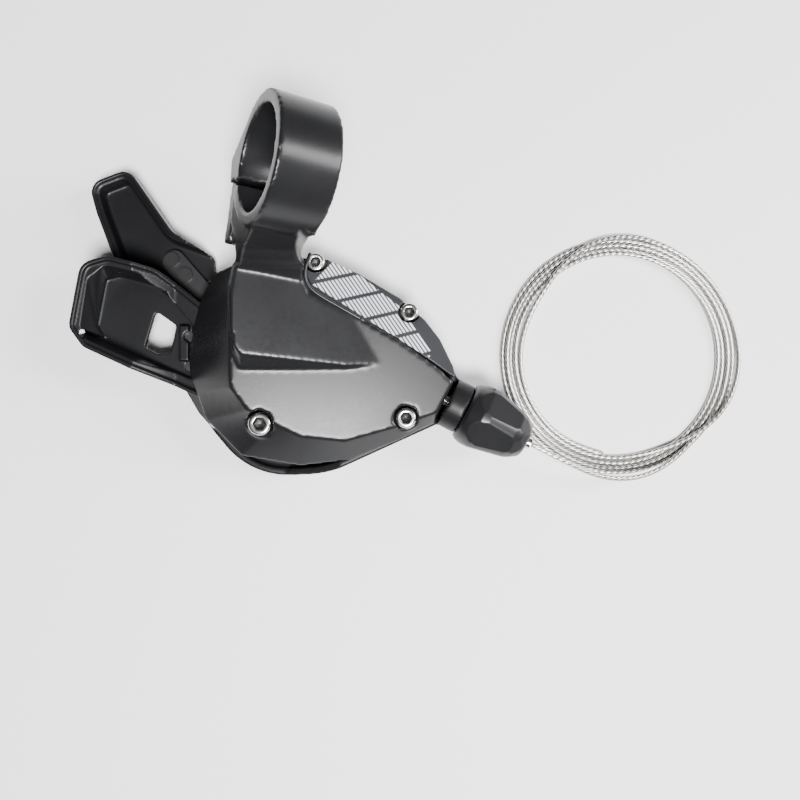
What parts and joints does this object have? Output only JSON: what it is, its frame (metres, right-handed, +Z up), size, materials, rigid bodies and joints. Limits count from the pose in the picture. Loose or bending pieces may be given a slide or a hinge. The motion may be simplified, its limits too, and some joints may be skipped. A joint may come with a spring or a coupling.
{
  "type": "bicycle thumb shifter",
  "caption": "Right-hand trigger shifter: clamp ring over a ribbed black body, push levers, barrel adjuster and a loose coil of bare inner cable.",
  "frame": {"origin": "where the main axle's axis meets the flat bottom that the shifter lies on", "axes": "+Z up out of the bottom along the main axle, +X towards the cable outlet, +Y towards the handlebar clamp"},
  "size_m": [0.1633, 0.0836, 0.0549],
  "materials": {
    "black_shell": "forged, satin black coat with a fine grain",
    "black_cover": "satin black moulded plastic, fine grain",
    "lever_plastic": "semi-matt black moulded plastic",
    "knob_plastic": "semi-matt black moulded plastic",
    "stamped_steel": "stamped and zinc plated",
    "turned_steel": "turned, plain",
    "bright_screw": "bright stainless",
    "black_bolt": "black oxide",
    "spring_steel": "spring wire and strip",
    "spool_plastic": "plain grey moulded",
    "cable_steel": "bare stranded stainless",
    "bright_sleeve": "bright plated",
    "brass_bush": "turned"
  },
  "bodies": {
    "shifter_frame": {"lower_housing": "black_cover", "clamp_cover": "black_shell", "name_cover": "black_cover", "base_plate": "stamped_steel", "top_plate": "stamped_steel", "frame_posts": "turned_steel", "floor_screws": "turned_steel", "top_plate_screws": "turned_steel", "main_axle": "turned_steel", "axle_nut": "turned_steel", "axle_washers": "turned_steel", "spool_spring": "spring_steel", "hold_pawl_pin": "turned_steel", "pull_return_spring": "spring_steel", "release_return_spring": "spring_steel", "hold_pawl_spring": "spring_steel", "cover_screws": "bright_screw", "name_cover_screws": "bright_screw", "pinch_bolt": "black_bolt", "pinch_washer": "black_bolt", "adjuster_bush": "brass_bush", "detent_spring": "spring_steel", "inner_cable_run": "cable_steel", "cable_lead": "cable_steel", "cable_coil": "cable_steel"},
    "cable_drum": {"index_ratchet": "stamped_steel", "cable_spool": "spool_plastic", "cable_head": "cable_steel"},
    "pull_lever": {"pull_lever_arm": "black_bolt", "pull_lever_paddle": "lever_plastic", "pull_lever_rivets": "black_bolt", "drive_pawl_pin": "turned_steel"},
    "drive_pawl": {"drive_pawl": "stamped_steel"},
    "release_lever": {"release_lever_arm": "black_bolt", "release_cam_pin": "turned_steel", "release_lever_paddle": "lever_plastic", "release_lever_rivets": "black_bolt"},
    "hold_pawl": {"hold_pawl": "stamped_steel"},
    "adjuster_knob": {"adjuster_knob": "knob_plastic"},
    "cable_stop": {"stop_sleeve": "bright_sleeve"}
  },
  "joints": [
    {"name": "drum_turn", "type": "hinge", "parent": "shifter_frame", "child": "cable_drum", "pos_m": [0, 0, 0.0102], "axis": [0, 0, 1], "range_deg": [0, 138.46]},
    {"name": "pull_lever_swing", "type": "hinge", "parent": "shifter_frame", "child": "pull_lever", "pos_m": [0, 0, 0.0074], "axis": [0, 0, 1], "range_deg": [0, 52], "stiffness_Nm_per_rad": 0.05, "springref_deg": -17.19},
    {"name": "drive_pawl_lift", "type": "hinge", "parent": "pull_lever", "child": "drive_pawl", "pos_m": [-0.01409, -0.00987, 0.00945], "axis": [0, 0, 1], "range_deg": [-10, 0], "stiffness_Nm_per_rad": 0.002, "springref_deg": 11.46},
    {"name": "release_lever_push", "type": "hinge", "parent": "shifter_frame", "child": "release_lever", "pos_m": [0, 0, 0.0047], "axis": [0, 0, 1], "range_deg": [0, 12], "stiffness_Nm_per_rad": 0.08, "springref_deg": -11.46},
    {"name": "hold_pawl_lift", "type": "hinge", "parent": "shifter_frame", "child": "hold_pawl", "pos_m": [0.0175, -0.0065, 0.00945], "axis": [0, 0, 1], "range_deg": [-7.5, 0]},
    {"name": "adjuster_turn", "type": "hinge", "parent": "shifter_frame", "child": "adjuster_knob", "pos_m": [0.05113, -0.00978, 0.0119], "axis": [0.891, -0.454, 0], "range_deg": [0, 1080]},
    {"name": "cable_stop_travel", "type": "slide", "parent": "shifter_frame", "child": "cable_stop", "axis": [0.891, -0.454, 0], "range_m": [0, 0.0026]}
  ],
  "couplings": [
    {"joint": "hold_pawl_lift", "follows": "release_lever_push", "ratio": -0.6},
    {"joint": "cable_stop_travel", "follows": "adjuster_turn", "m_per_rad": 0.00012732}
  ]
}
